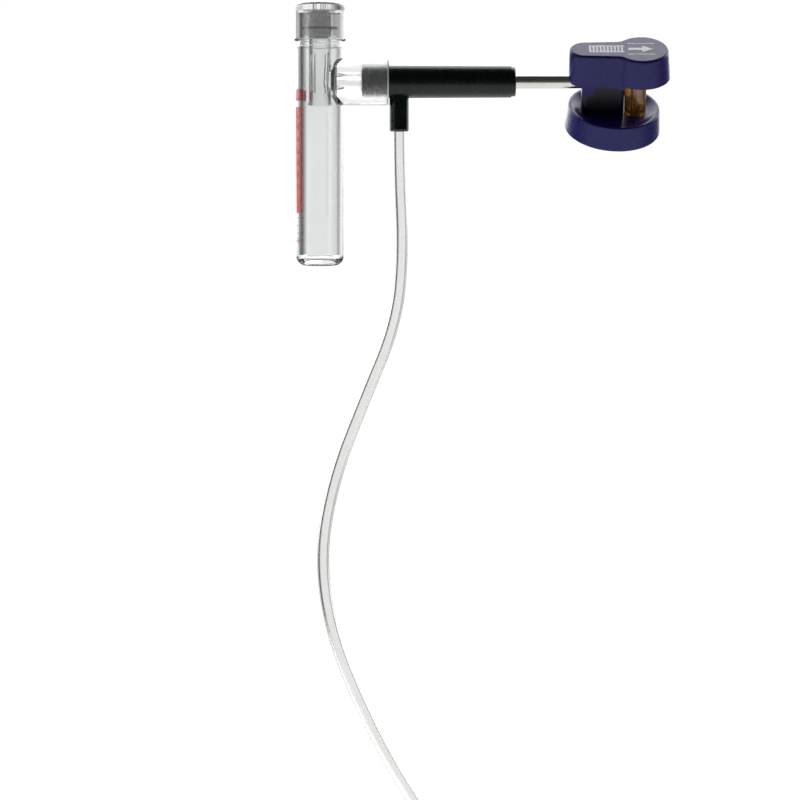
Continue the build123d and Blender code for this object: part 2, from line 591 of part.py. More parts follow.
def handle_top():
    """Pear-shaped upper grip. Its small lobe turns on the rod."""
    low = pear(SMALL_LOBE_R, LARGE_LOBE_BOTTOM_R, NECK_HALF_BOTTOM)
    high = pear(SMALL_LOBE_R, LARGE_LOBE_TOP_R, NECK_HALF_TOP)
    low_face = (Pos(0, 0, HANDLE_TONGUE_W) * low).face()
    high_face = (Pos(0, 0, HANDLE_TOP_W) * high).face()
    grip = loft([low_face, high_face], ruled=True)
    grip = fillet(grip.faces().sort_by(Axis.Z)[-1].edges(), HANDLE_EDGE_ROUND)
    far = HANDLE_X0 + 100
    grip -= block(COLUMN_X1, far, -50, 50, HANDLE_TONGUE_W - 1, HANDLE_LOBE_W)
    grip += block(COLUMN_X0, BOSS_X1, -BOSS_HALF, BOSS_HALF, BOSS_W, HANDLE_TONGUE_W + 1)
    grip -= handle_bar_x(ROD_R + LOOSE, HANDLE_X0 - 1, COLUMN_X0)
    grip -= handle_bar_x(ROD_R + RUNNING + HANDLE_BUSH_WALL, COLUMN_X0 - 1, BOSS_X1)
    grip -= handle_bar_x(CLIP_CHAMBER_R, BOSS_X1, BOSS_X1 + CLIP_CHAMBER_LENGTH)
    for x, y, seat_w in tie_places():
        grip -= bar_z(INSERT_R, seat_w - 1, seat_w + INSERT_LENGTH, x, y)
        grip -= bar_z(TIE_SCREW_R, seat_w, seat_w + INSERT_LENGTH + 1, x, y)
    return on_handle(grip)


def handle_bushing():
    """Plain bushing that lets the handle turn on the rod."""
    bore = ROD_R + RUNNING
    return pipe_x(bore + HANDLE_BUSH_WALL, bore, COLUMN_X0 + 0.2, BOSS_X1)


def swivel_clip():
    """Retaining clip in the rod's groove, open on one side."""
    clip = pipe_x(CLIP_R, CLIP_GROOVE_R, CLIP_X0, CLIP_X0 + CLIP_WIDTH)
    mouth = CLIP_GROOVE_R * 0.8
    return clip - block(
        CLIP_X0 - 1, CLIP_X0 + 2, -mouth, mouth, AXIS_HEIGHT - CLIP_R - 1, AXIS_HEIGHT
    )


def handle_column():
    """Column between the upper grip and the disc."""
    half = COLUMN_DEPTH / 2
    column = block(COLUMN_X0, COLUMN_X1, -half, half, DISC_FLOOR_W - 1, HANDLE_TONGUE_W)
    column = fillet(column.edges().filter_by(Axis.Z), COLUMN_ROUND) - dished_disc()
    column -= block(COLUMN_X0 - 1, BOSS_X1, -half - 1, half + 1, BOSS_W, HANDLE_TONGUE_W + 1)
    column -= handle_bar_x(CLIP_CHAMBER_R, BOSS_X1 - 1, BOSS_X1 + CLIP_CHAMBER_LENGTH)
    for x, y, _ in tie_places()[:2]:
        column -= bar_z(TIE_SCREW_R, DISC_FLOOR_W - 2, HANDLE_TONGUE_W + 1, x, y)
    return on_handle(column)


def on_disc(shape):
    """Stands a shape on the disc's axis, which leans a little about the dish's floor."""
    return Pos(DISC_X, 0, DISC_FLOOR_W) * Rot(0, DISC_TILT, 0) * Pos(0, 0, -DISC_FLOOR_W) * shape


def dished_disc():
    """The lower grip's round form: a dished top with a raised lip, and a recess below."""
    draft = (DISC_BOTTOM_R - DISC_TOP_R) / (DISC_RIM_W - DISC_BOTTOM_W)
    lip_in = DISC_TOP_R - DISC_LIP
    floor_r = lip_in - (DISC_RIM_W - DISC_FLOOR_W) * 1.4
    profile = Polyline(
        (0, DISC_FLOOR_W),
        (floor_r, DISC_FLOOR_W),
        (lip_in, DISC_RIM_W),
        (DISC_TOP_R, DISC_RIM_W),
        (DISC_BOTTOM_R, DISC_BOTTOM_W),
        (DISC_COVER_R + PLUG_GAP, DISC_BOTTOM_W),
        (DISC_COVER_R + PLUG_GAP, DISC_RECESS_W),
        (0, DISC_RECESS_W),
        close=True,
    )
    section = make_face(profile)
    soft = section.vertices().filter_by(lambda v: v.Y > DISC_FLOOR_W + 1 or v.X > DISC_BOTTOM_R - draft)
    section = fillet(soft, DISC_EDGE_ROUND)
    section = fillet(section.vertices().filter_by(lambda v: abs(v.X - floor_r) < 1e-6), 4.0)
    return on_disc(revolve(Plane.XZ * section, Axis.Z))


def grip_disc():
    """Round lower grip, with a seat for the spacer and holes for the tie screws."""
    disc = dished_disc()
    disc -= bar_z(SPACER_R, DISC_FLOOR_W - SPACER_SEAT, DISC_FLOOR_W + 5, SPACER_X)
    for x, y, _ in tie_places():
        disc -= bar_z(TIE_SCREW_R, DISC_BOTTOM_W, DISC_FLOOR_W + 2, x, y)
        disc -= bar_z(TIE_SCREW_HEAD_R + LOOSE, DISC_BOTTOM_W, SCREW_SHELF_W, x, y)
    return on_handle(disc)


def disc_cover():
    """Cover over the screws under the disc."""
    return on_handle(on_disc(bar_z(DISC_COVER_R, DISC_BOTTOM_W, DISC_RECESS_W)))


def spacer_sleeve():
    """Translucent sleeve between the large lobe and the disc."""
    sleeve = pipe_z(SPACER_R, TIE_SCREW_R, DISC_FLOOR_W - SPACER_SEAT, HANDLE_LOBE_W, SPACER_X)
    return on_handle(sleeve)


def tie_places():
    """Where the three tie screws stand, and the height at which their inserts begin."""
    half = COLUMN_SCREW_SPACING / 2
    return [
        (COLUMN_SCREW_X, -half, HANDLE_TONGUE_W),
        (COLUMN_SCREW_X, half, HANDLE_TONGUE_W),
        (SPACER_X, 0, HANDLE_LOBE_W),
    ]


def tie_screws():
    """Socket screws that draw the disc, the column, the sleeve and the grip together."""
    screws = []
    for x, y, seat_w in tie_places():
        head_w = SCREW_SHELF_W - TIE_SCREW_HEAD
        screw = bar_z(TIE_SCREW_HEAD_R, head_w, SCREW_SHELF_W, x, y)
        screw += bar_z(TIE_SCREW_R, SCREW_SHELF_W - 0.5, seat_w + INSERT_LENGTH, x, y)
        screw -= bar_z(TIE_SCREW_SOCKET_R, head_w - 1, head_w + TIE_SCREW_HEAD * 0.6, x, y)
        screws.append(on_handle(screw))
    return screws


def threaded_inserts():
    """Brass inserts in the upper grip."""
    inserts = []
    for x, y, seat_w in tie_places():
        inserts.append(on_handle(pipe_z(INSERT_R, TIE_SCREW_R, seat_w, seat_w + INSERT_LENGTH, x, y)))
    return inserts


# ---- Hose -----------------------------------------------------------------------------------------------
def hose_path():
    """Straight runs joined by arcs as large as the runs allow."""
    points = [Vector(*p) for p in HOSE_ROUTE]
    radii = []
    for before, here, after in zip(points, points[1:], points[2:]):
        first = here - before
        second = after - here
        turn = math.radians(first.get_angle(second))
        shorter = min(first.length, second.length)
        radii.append(0.45 * shorter / math.tan(turn / 2))
    return FilletPolyline(*points, radius=radii), radii


def hose_and_length():
    """The hose as a hollow tube, with its length and its tightest arc."""
    path, radii = hose_path()
    start = Plane(path @ 0, z_dir=path % 0)
    ring = start * (Circle(HOSE_R) - Circle(HOSE_BORE_R))
    return sweep(ring, path=path), path.length, radii


def end_frame():
    """Frame at the hose's far end, with Z pointing on along the hose."""
    before = Vector(*HOSE_ROUTE[-2])
    last = Vector(*HOSE_ROUTE[-1])
    return Plane(last, x_dir=(0, 1, 0), z_dir=last - before)


def hose_collar():
    """Clamping collar round the hose, over the connector's barb."""
    collar = Cylinder(HOSE_R + COLLAR_WALL, COLLAR_LENGTH) - Cylinder(HOSE_R, COLLAR_LENGTH + 1)
    return end_frame() * Pos(0, 0, -COLLAR_SETBACK - COLLAR_LENGTH / 2) * collar


def hose_connector():
    """Connector with a barb in the hose, a ribbed flange and a plain tip."""
    barb = Pos(0, 0, -CONNECTOR_BARB / 2 + 0.5) * Cylinder(HOSE_BORE_R, CONNECTOR_BARB + 1)
    flange = Pos(0, 0, CONNECTOR_FLANGE / 2) * Cylinder(CONNECTOR_FLANGE_R, CONNECTOR_FLANGE)
    for turn in range(CONNECTOR_RIBS):
        notch = Pos(CONNECTOR_FLANGE_R, 0, CONNECTOR_FLANGE / 2) * Cylinder(1.0, CONNECTOR_FLANGE + 1)
        flange -= Rot(0, 0, turn * 360 / CONNECTOR_RIBS) * notch
    tip = Pos(0, 0, CONNECTOR_FLANGE + CONNECTOR_TIP / 2) * Cylinder(CONNECTOR_TIP_R, CONNECTOR_TIP)
    tip = chamfer(tip.edges().sort_by(Axis.Z)[-1], 0.4)
    length = CONNECTOR_BARB + CONNECTOR_FLANGE + CONNECTOR_TIP + 4
    connector = barb + flange + tip - Cylinder(CONNECTOR_BORE_R, 2 * length)
    return end_frame() * connector


# ---- Writing the nodes ----------------------------------------------------------------
def solids_of(shape):
    """The separate solids of a shape or of a list of shapes."""
    if isinstance(shape, list):
        return [solid for one in shape for solid in solids_of(one)]
    return list(shape.solids())


def save(name, shape):
    """Writes one node."""
    solids = solids_of(shape)
    result = solids[0] if len(solids) == 1 else Compound(children=solids)
    export_step(result, os.path.join("parts", name + ".step"))


def main():
    os.makedirs("parts", exist_ok=True)
    hose, hose_length, radii = hose_and_length()
    pieces = {
        "vessel_body": vessel_body(),
        "cap_shell": cap_shell(),
        "cap_seal": cap_seal(),
        "exhaust_tube": exhaust_tube(),
        "vent_filter": vent_filter(),
        "filter_retainer": filter_retainer(),
        "arm_gasket": arm_gasket(),
        "spigot_seal": spigot_seal(),
        "pump_barrel": pump_barrel(),
        "outlet_seat": outlet_seat(),
        "outlet_umbrella": outlet_umbrella(),
        "outlet_retainer": outlet_retainer(),
        "inlet_seat": inlet_seat(),
        "inlet_ball": inlet_ball(),
        "gland_cap": gland_cap(),
        "rod_bushing": rod_bushing(),
        "rod_seal": rod_seal(),
        "rod_wiper": rod_wiper(),
        "piston_head": piston_head(),
        "piston_seals": piston_seals(),
        "piston_screw": piston_screw(),
        "piston_rod": piston_rod(),
        "handle_top": handle_top(),
        "handle_bushing": handle_bushing(),
        "swivel_clip": swivel_clip(),
        "handle_column": handle_column(),
        "grip_disc": grip_disc(),
        "disc_cover": disc_cover(),
        "spacer_sleeve": spacer_sleeve(),
        "tie_screws": tie_screws(),
        "threaded_inserts": threaded_inserts(),
        "hose": hose,
        "hose_collar": hose_collar(),
        "hose_connector": hose_connector(),
    }
    for name, shape in pieces.items():
        save(name, shape)
    section = math.pi * (HOSE_R**2 - HOSE_BORE_R**2)
    print("nodes", len(pieces))
    print("hose length", round(hose_length, 1), "arc radii", [round(r, 1) for r in radii])
    print("hose volume", round(hose.volume, 1), "section times length", round(section * hose_length, 1))


main()
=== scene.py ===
import json
import math

import bpy
from mathutils import Matrix, Vector


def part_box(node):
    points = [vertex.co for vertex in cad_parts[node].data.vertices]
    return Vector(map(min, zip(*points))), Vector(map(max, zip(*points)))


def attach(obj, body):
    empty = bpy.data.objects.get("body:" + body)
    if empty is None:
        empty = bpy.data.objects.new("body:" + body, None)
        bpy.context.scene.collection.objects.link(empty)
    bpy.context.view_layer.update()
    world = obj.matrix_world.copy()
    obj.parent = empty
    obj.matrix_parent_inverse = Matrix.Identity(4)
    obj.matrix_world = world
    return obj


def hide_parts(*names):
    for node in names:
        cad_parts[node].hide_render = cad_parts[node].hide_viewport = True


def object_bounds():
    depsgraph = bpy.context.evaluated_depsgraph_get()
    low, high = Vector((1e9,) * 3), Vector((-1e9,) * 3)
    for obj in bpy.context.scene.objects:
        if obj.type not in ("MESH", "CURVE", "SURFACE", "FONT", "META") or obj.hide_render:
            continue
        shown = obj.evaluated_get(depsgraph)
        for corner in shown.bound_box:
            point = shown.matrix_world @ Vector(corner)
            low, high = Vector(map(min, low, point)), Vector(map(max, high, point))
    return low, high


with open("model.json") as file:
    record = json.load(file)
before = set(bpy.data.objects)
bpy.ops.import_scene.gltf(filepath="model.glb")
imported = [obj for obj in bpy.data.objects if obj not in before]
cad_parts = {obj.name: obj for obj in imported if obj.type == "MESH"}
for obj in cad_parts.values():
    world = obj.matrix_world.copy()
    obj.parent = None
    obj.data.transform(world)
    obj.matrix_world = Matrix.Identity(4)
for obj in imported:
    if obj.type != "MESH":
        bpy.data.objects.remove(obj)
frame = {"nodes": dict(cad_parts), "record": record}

CAD_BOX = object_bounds()
NODES = frame["nodes"]
MM = 0.001


# ---- Places read from the frame --------------------------------------------------------
def middle(node):
    """Centre of a CAD node's box."""
    low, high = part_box(node)
    return (low + high) / 2


AXIS_Z = middle("piston_rod").z                 # height of the barrel, rod and handle swivel
SHOULDER_R = -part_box("vessel_body")[0].x       # the vessel is widest at its shoulder
HOLDER = frame["record"]["mounts"][0]["dims"]
HOLD_R = HOLDER["r_mm"] * MM                    # the vessel's straight lower end
HOLD_LENGTH = HOLDER["length_mm"] * MM
SHOULDER_Z = AXIS_Z + 17.85 * MM                # the shoulder above the arm
HANDLE_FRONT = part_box("handle_top")[0].x
HANDLE_ROLL = math.radians(33)                  # the handle's turn about the rod at rest
HANDLE_TOP_W = 18.8 * MM                        # its top face above the rod's axis
FLOOR_GAP = 0.03                                # the hanging hose clears the floor by this
FLOOR_Z = CAD_BOX[0].z - FLOOR_GAP


# ---- Camera ----------------------------------------------------------------------------
CAMERA_LENS = 200.0
CAMERA_SENSOR = 36.0
VIEW_WIDTH = 0.408                              # what the picture spans at the object
VIEW_CENTRE_X = 0.0408
VIEW_CENTRE_DROP = 0.16245                      # below the barrel's axis
VIEW_CENTRE = Vector((VIEW_CENTRE_X, 0.0, AXIS_Z - VIEW_CENTRE_DROP))


def make_camera():
    """Long lens, level with the object, looking along +Y."""
    data = bpy.data.cameras.new("camera")
    data.lens = CAMERA_LENS
    data.sensor_width = CAMERA_SENSOR
    data.clip_start = 0.05
    data.clip_end = 60.0
    camera = bpy.data.objects.new("camera", data)
    bpy.context.scene.collection.objects.link(camera)
    distance = VIEW_WIDTH * CAMERA_LENS / CAMERA_SENSOR
    camera.location = VIEW_CENTRE + Vector((0, -distance, 0))
    camera.rotation_euler = (math.pi / 2, 0, 0)
    bpy.context.scene.camera = camera


# ---- Node helpers for materials --------------------------------------------------------
class Shader:
    """A new material with a Principled shader and short ways to feed its sockets."""

    def __init__(self, name, base, roughness, **constants):
        self.material = bpy.data.materials.new(name)
        self.material.use_nodes = True
        self.tree = self.material.node_tree
        self.principled = self.tree.nodes["Principled BSDF"]
        self.principled.inputs["Base Color"].default_value = (*base, 1.0)
        self.principled.inputs["Roughness"].default_value = roughness
        for key, value in constants.items():
            self.principled.inputs[key.replace("_", " ")].default_value = value
        self.place = self.add("ShaderNodeTexCoord").outputs["Object"]

    def add(self, kind, **settings):
        node = self.tree.nodes.new(kind)
        for key, value in settings.items():
            setattr(node, key, value)
        return node

    def link(self, output, target):
        self.tree.links.new(output, target)

    def stretched(self, scale):
        """Object coordinates scaled unevenly, for grain that runs one way."""
        mapping = self.add("ShaderNodeMapping")
        mapping.inputs["Scale"].default_value = scale
        self.link(self.place, mapping.inputs["Vector"])
        return mapping.outputs["Vector"]

    def noise(self, scale, detail=3.0, rough=0.5, vector=None):
        node = self.add("ShaderNodeTexNoise")
        node.inputs["Scale"].default_value = scale
        node.inputs["Detail"].default_value = detail
        node.inputs["Roughness"].default_value = rough
        self.link(vector or self.place, node.inputs["Vector"])
        return node.outputs["Fac"]

    def spread(self, value, low, high):
        """Maps a 0.3 to 0.7 noise value on to a range."""
        node = self.add("ShaderNodeMapRange")
        node.inputs["From Min"].default_value = 0.3
        node.inputs["From Max"].default_value = 0.7
        node.inputs["To Min"].default_value = low
        node.inputs["To Max"].default_value = high
        self.link(value, node.inputs["Value"])
        return node.outputs["Result"]

    def colours(self, value, first, second):
        """Blends two colours by a noise value."""
        node = self.add("ShaderNodeMix", data_type="RGBA")
        node.inputs["A"].default_value = (*first, 1.0)
        node.inputs["B"].default_value = (*second, 1.0)
        self.link(self.spread(value, 0.0, 1.0), node.inputs["Factor"])
        self.link(node.outputs["Result"], self.principled.inputs["Base Color"])

    def roughness(self, value, low, high):
        self.link(self.spread(value, low, high), self.principled.inputs["Roughness"])

    def bump(self, value, distance, strength=1.0):
        node = self.add("ShaderNodeBump")
        node.inputs["Strength"].default_value = strength
        node.inputs["Distance"].default_value = distance
        self.link(value, node.inputs["Height"])
        self.link(node.outputs["Normal"], self.principled.inputs["Normal"])


# ---- Materials -------------------------------------------------------------------------
def clear_moulding():
    """Clear rigid plastic: a faint grey tint, flow lines and fine scuffs."""
    s = Shader("clear_moulding", (0.90, 0.915, 0.905), 0.03, Transmission_Weight=1.0, IOR=1.55)
    s.colours(s.noise(18.0), (0.885, 0.90, 0.89), (0.92, 0.93, 0.925))
    s.roughness(s.noise(240.0, 6.0), 0.015, 0.05)
    s.bump(s.noise(60.0, 2.0, vector=s.stretched((1.0, 1.0, 0.25))), 0.00004, 0.35)
    return s.material


FROST_START = 12.5 * MM      # the frost sets in between these places along the arm
FROST_END = 15.0 * MM


def vessel_moulding():
    """The vessel: the same plastic, frosted along the side arm."""
    s = Shader("vessel_moulding", (0.92, 0.93, 0.925), 0.03, Transmission_Weight=1.0, IOR=1.55)
    s.colours(s.noise(18.0), (0.905, 0.915, 0.91), (0.935, 0.945, 0.94))
    split = s.add("ShaderNodeSeparateXYZ")
    s.link(s.place, split.inputs["Vector"])
    frost = s.add("ShaderNodeMapRange", interpolation_type="SMOOTHSTEP")
    frost.inputs["From Min"].default_value = FROST_START
    frost.inputs["From Max"].default_value = FROST_END
    frost.inputs["To Min"].default_value = 0.0
    frost.inputs["To Max"].default_value = 0.22
    s.link(split.outputs["X"], frost.inputs["Value"])
    total = s.add("ShaderNodeMath", operation="ADD")
    s.link(s.spread(s.noise(240.0, 6.0), 0.015, 0.05), total.inputs[0])
    s.link(frost.outputs["Result"], total.inputs[1])
    s.link(total.outputs["Value"], s.principled.inputs["Roughness"])
    s.bump(s.noise(60.0, 2.0, vector=s.stretched((1.0, 1.0, 0.25))), 0.00004, 0.35)
    return s.material


def clear_cap():
    """The cap: a brighter, cleaner grade of the same plastic."""
    s = Shader("clear_cap", (0.975, 0.98, 0.975), 0.03, Transmission_Weight=1.0, IOR=1.5)
    s.colours(s.noise(25.0), (0.965, 0.97, 0.965), (0.985, 0.99, 0.985))
    s.roughness(s.noise(220.0, 5.0), 0.015, 0.045)
    s.bump(s.noise(80.0, 2.0), 0.00003, 0.3)
    return s.material


def smoky_tube():
    """The exhaust tube: the same plastic, a little hazier."""
    s = Shader("smoky_tube", (0.93, 0.94, 0.93), 0.06, Transmission_Weight=1.0, IOR=1.5)
    s.colours(s.noise(30.0), (0.91, 0.92, 0.91), (0.95, 0.955, 0.95))
    s.roughness(s.noise(200.0, 5.0), 0.05, 0.12)
    s.bump(s.noise(120.0, 3.0), 0.00004, 0.4)
    return s.material


def clear_hose():
    """Soft clear tube with extrusion lines along it and a slight haze."""
    s = Shader("clear_hose", (0.93, 0.94, 0.925), 0.06, Transmission_Weight=1.0, IOR=1.53)
    s.colours(s.noise(25.0), (0.915, 0.925, 0.905), (0.95, 0.955, 0.945))
    s.roughness(s.noise(300.0, 4.0), 0.04, 0.09)
    s.bump(s.noise(150.0, 3.0, vector=s.stretched((1.0, 1.0, 0.1))), 0.00005, 0.3)
    return s.material


def green_moulding():
    """Near-black green plastic, glossy with a fine grain."""
    s = Shader("green_moulding", (0.0008, 0.0045, 0.0034), 0.27, Specular_IOR_Level=0.3)
    s.colours(s.noise(70.0, 4.0), (0.0005, 0.003, 0.0024), (0.0012, 0.006, 0.0046))
    s.roughness(s.noise(420.0, 5.0), 0.22, 0.33)
    s.bump(s.noise(2600.0, 2.0), 0.00003, 0.35)
    return s.material


def navy_moulding():
    """Glossy violet-navy plastic with a soft orange-peel surface."""
    s = Shader("navy_moulding", (0.016, 0.012, 0.16), 0.3, Specular_IOR_Level=0.25)
    s.colours(s.noise(55.0, 4.0), (0.009, 0.007, 0.10), (0.014, 0.011, 0.135))
    s.roughness(s.noise(380.0, 5.0), 0.24, 0.38)
    s.bump(s.noise(700.0, 3.0), 0.00005, 0.3)
    return s.material


def black_column():
    """The column: the same plastic as the handle, darkened to near-black as painted shade where the
    handle's body shades it.
    """
    s = Shader("black_column", (0.003, 0.003, 0.010), 0.35, Specular_IOR_Level=0.3)
    s.colours(s.noise(60.0, 4.0), (0.002, 0.002, 0.008), (0.004, 0.004, 0.013))
    s.roughness(s.noise(400.0, 5.0), 0.3, 0.45)
    s.bump(s.noise(900.0, 3.0), 0.00004, 0.3)
    return s.material


def amber_moulding():
    """Translucent amber plastic."""
    s = Shader("amber_moulding", (0.55, 0.27, 0.05), 0.2, Transmission_Weight=0.75, IOR=1.6)
    s.colours(s.noise(90.0, 4.0), (0.48, 0.22, 0.035), (0.62, 0.32, 0.07))
    s.roughness(s.noise(400.0, 4.0), 0.12, 0.26)
    s.bump(s.noise(500.0, 3.0), 0.00004, 0.3)
    return s.material


def white_moulding():
    """Natural white plastic for the valves and bushings."""
    s = Shader("white_moulding", (0.8, 0.8, 0.76), 0.4, Subsurface_Weight=0.1)
    s.colours(s.noise(120.0, 4.0), (0.74, 0.74, 0.70), (0.84, 0.84, 0.81))
    s.roughness(s.noise(600.0, 4.0), 0.35, 0.5)
    s.bump(s.noise(1500.0, 2.0), 0.00003, 0.3)
    return s.material


def frosted_moulding():
    """Frosted translucent plastic of the hose's connector."""
    s = Shader("frosted_moulding", (0.86, 0.88, 0.87), 0.3, Transmission_Weight=0.6, IOR=1.5)
    s.colours(s.noise(100.0, 4.0), (0.82, 0.85, 0.84), (0.9, 0.91, 0.9))
    s.roughness(s.noise(500.0, 4.0), 0.25, 0.4)
    s.bump(s.noise(1800.0, 2.0), 0.00003, 0.3)
    return s.material


def black_rubber():
    """Moulded black rubber."""
    s = Shader("black_rubber", (0.012, 0.012, 0.012), 0.6)
    s.colours(s.noise(150.0, 4.0), (0.008, 0.008, 0.008), (0.02, 0.02, 0.019))
    s.roughness(s.noise(700.0, 4.0), 0.5, 0.72)
    s.bump(s.noise(2200.0, 3.0), 0.00003, 0.4)
    return s.material


def milky_silicone():
    """Milky soft silicone."""
    s = Shader("milky_silicone", (0.78, 0.76, 0.72), 0.45, Subsurface_Weight=0.2)
    s.colours(s.noise(140.0, 4.0), (0.73, 0.71, 0.67), (0.82, 0.8, 0.77))
    s.roughness(s.noise(600.0, 4.0), 0.38, 0.55)
    s.bump(s.noise(1800.0, 2.0), 0.00002, 0.3)
    return s.material


def pale_gasket():
    """Pale flat gasket."""
    s = Shader("pale_gasket", (0.7, 0.72, 0.72), 0.5)
    s.colours(s.noise(200.0, 4.0), (0.64, 0.66, 0.66), (0.75, 0.77, 0.77))
    s.roughness(s.noise(700.0, 4.0), 0.42, 0.6)
    s.bump(s.noise(2500.0, 2.0), 0.00002, 0.3)
    return s.material


def polished_steel():
    """Ground and polished rod: fine lines round it."""
    s = Shader("polished_steel", (0.56, 0.57, 0.53), 0.2, Metallic=1.0)
    lines = s.noise(900.0, 4.0, vector=s.stretched((1.0, 0.04, 0.04)))
    s.colours(s.noise(60.0, 4.0), (0.50, 0.51, 0.475), (0.61, 0.62, 0.58))
    s.roughness(lines, 0.14, 0.27)
    s.bump(lines, 0.00002, 0.25)
    return s.material


def turned_steel():
    """Plain turned steel of the screws and the clip."""
    s = Shader("turned_steel", (0.5, 0.5, 0.5), 0.32, Metallic=1.0)
    lines = s.noise(1200.0, 4.0)
    s.colours(s.noise(200.0, 3.0), (0.42, 0.42, 0.42), (0.58, 0.58, 0.57))
    s.roughness(lines, 0.25, 0.42)
    s.bump(lines, 0.00002, 0.3)
    return s.material


def turned_brass():
    """Brass of the threaded inserts."""
    s = Shader("turned_brass", (0.72, 0.5, 0.2), 0.3, Metallic=1.0)
    s.colours(s.noise(250.0, 3.0), (0.62, 0.42, 0.16), (0.8, 0.58, 0.26))
    s.roughness(s.noise(900.0, 4.0), 0.22, 0.4)
    s.bump(s.noise(1500.0, 3.0), 0.00002, 0.3)
    return s.material


def porous_felt():
    """Porous white filter disc."""
    s = Shader("porous_felt", (0.82, 0.82, 0.8), 0.9)
    s.colours(s.noise(900.0, 6.0), (0.68, 0.68, 0.66), (0.88, 0.88, 0.86))
    s.roughness(s.noise(1200.0, 4.0), 0.8, 1.0)
    s.bump(s.noise(2600.0, 6.0, 0.7), 0.0001, 0.7)
    return s.material


def ink(name, thin, full):
    """Screen-printed ink, a little uneven in cover."""
    s = Shader(name, full, 0.45)
    s.colours(s.noise(500.0, 6.0, 0.7), thin, full)
    s.roughness(s.noise(900.0, 4.0), 0.38, 0.55)
    s.bump(s.noise(1800.0, 3.0), 0.00001, 0.3)
    return s.material


MATERIALS = {
    "clear_plastic": clear_moulding(),
    "clear_hose": clear_hose(),
    "dark_green_plastic": green_moulding(),
    "navy_plastic": navy_moulding(),
    "amber_plastic": amber_moulding(),
    "white_plastic": white_moulding(),
    "frosted_plastic": frosted_moulding(),
    "seal_rubber": black_rubber(),
    "silicone": milky_silicone(),
    "gasket": pale_gasket(),
    "polished_steel": polished_steel(),
    "screw_steel": turned_steel(),
    "insert_brass": turned_brass(),
    "filter_felt": porous_felt(),
}
WHITE_INK = ink("white_ink", (0.6, 0.61, 0.66), (0.86, 0.87, 0.88))
RED_INK = ink("red_ink", (0.5, 0.02, 0.015), (0.72, 0.035, 0.02))


def dress_cad_nodes():
    """Gives every CAD node the material of its slot in the record."""
    for part in frame["record"]["subparts"]:
        node = NODES[part["node"]]
        node.data.materials.clear()
        node.data.materials.append(MATERIALS[part["material_slot"]])
    NODES["vessel_body"].data.materials[0] = vessel_moulding()
    NODES["cap_shell"].data.materials[0] = clear_cap()
    NODES["exhaust_tube"].data.materials[0] = smoky_tube()
    # The column gets a near-black copy of the handle's plastic: painted shade under the handle's
    # body.
    NODES["handle_column"].data.materials[0] = black_column()


# ---- Meshes ----------------------------------------------------------------------------
def new_object(name, vertices, faces, material, smooth=True):
    """A mesh object in the row frame."""
    mesh = bpy.data.meshes.new(name)
    mesh.from_pydata([tuple(v) for v in vertices], [], faces)
    mesh.materials.append(material)
    for polygon in mesh.polygons:
        polygon.use_smooth = smooth
    mesh.update()
    made = bpy.data.objects.new(name, mesh)
    bpy.context.scene.collection.objects.link(made)
    return made


def spline_points(route):
    """Points along one smooth NURBS spline with the route as its control points."""
    curve = bpy.data.curves.new("route", "CURVE")
    curve.dimensions = "3D"
    curve.resolution_u = 24
    spline = curve.splines.new("NURBS")
    spline.points.add(len(route) - 1)
    for point, place in zip(spline.points, route):
        point.co = (*place, 1.0)
    spline.order_u = 3
    spline.use_endpoint_u = True
    holder = bpy.data.objects.new("route", curve)
    bpy.context.scene.collection.objects.link(holder)
    bpy.context.view_layer.update()
    mesh = bpy.data.meshes.new_from_object(holder)
    points = [v.co.copy() for v in mesh.vertices]
    bpy.data.objects.remove(holder)
    bpy.data.curves.remove(curve)
    bpy.data.meshes.remove(mesh)
    return points


def frames_along(points):
    """(point, side, up) at each point, turning as little as the path allows."""
    tangents = []
    for index in range(len(points)):
        before = points[max(index - 1, 0)]
        after = points[min(index + 1, len(points) - 1)]
        tangents.append((after - before).normalized())
    side = tangents[0].cross(Vector((0, 1, 0))).normalized()
    frames = []
    for point, tangent in zip(points, tangents):
        side = (side - tangent * side.dot(tangent)).normalized()
        frames.append((point, side, tangent.cross(side)))
    return frames


def hollow_tube(name, points, outer, inner, segments, material):
    """Thick-walled tube along a path, closed by a ring at each end."""
    vertices = []
    for radius in (outer, inner):
        for point, side, up in frames_along(points):
            for step in range(segments):
                angle = 2 * math.pi * step / segments
                vertices.append(point + radius * (math.cos(angle) * side + math.sin(angle) * up))
    rings = len(points)
    skin = rings * segments
    faces = []
    for ring in range(rings - 1):
        for step in range(segments):
            a = ring * segments + step
            b = ring * segments + (step + 1) % segments
            faces.append((a, b, b + segments, a + segments))
            faces.append((skin + a, skin + a + segments, skin + b + segments, skin + b))
    last = (rings - 1) * segments
    for step in range(segments):
        a = step
        b = (step + 1) % segments
        faces.append((a, skin + a, skin + b, b))
        faces.append((last + a, last + b, skin + last + b, skin + last + a))
    return new_object(name, vertices, faces, material)


# ---- Hose ------------------------------------------------------------------------------
HOSE_OUTER = 3.0 * MM
HOSE_INNER = 2.0 * MM
HOSE_ROUTE = [
    (0.0404, 0, 0.070),
    (0.0404, 0, 0.045),
    (0.0424, 0.0006, 0.003),
    (0.0389, 0.0015, -0.034),
    (0.0222, 0.0025, -0.074),
    (0.0074, 0.0020, -0.112),
    (0.0, 0, -0.152),
    (0.0056, -0.0020, -0.192),
    (0.0212, -0.0030, -0.230),
    (0.0376, -0.0024, -0.262),
    (0.0605, -0.0006, -0.297),
    (0.0760, 0.0012, -0.333),
    (0.0830, 0.0020, -0.372),
    (0.0830, 0.0020, -0.406),
]


def make_hose():
    """The clear hose, from the inlet valve down to its connector."""
    points = spline_points(HOSE_ROUTE)
    hose = hollow_tube("clear_hose_tube", points, HOSE_OUTER, HOSE_INNER, 40, MATERIALS["clear_hose"])
    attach(hose, "vessel")
    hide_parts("hose")


